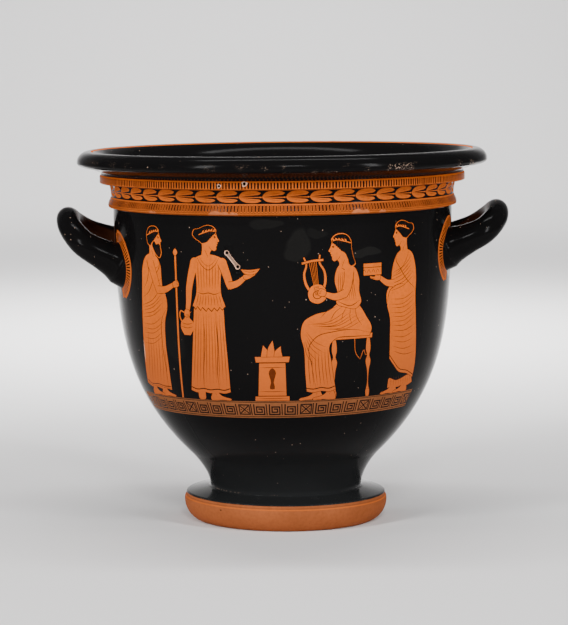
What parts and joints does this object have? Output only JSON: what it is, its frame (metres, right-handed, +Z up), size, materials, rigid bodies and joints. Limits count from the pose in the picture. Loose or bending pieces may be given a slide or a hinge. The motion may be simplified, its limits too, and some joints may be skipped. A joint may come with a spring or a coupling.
{
  "type": "bell krater",
  "caption": "Wide bell-shaped bowl of fired clay on a low round foot, with a heavy lip, ornament bands and an upturned loop handle on each side.",
  "frame": {"origin": "middle of the foot, on the plane that the vessel stands on", "axes": "+Z up, +X along the line through both handles, -Y towards the front picture"},
  "size_m": [0.5001, 0.4528, 0.4134],
  "materials": {
    "black_gloss": "black slip fired to a soft gloss, worn through in flecks",
    "bare_clay": "smooth orange clay, left bare inside the painted bands and figures and around the foot"
  },
  "bodies": {
    "root": {"krater": "black_gloss"}
  },
  "joints": []
}
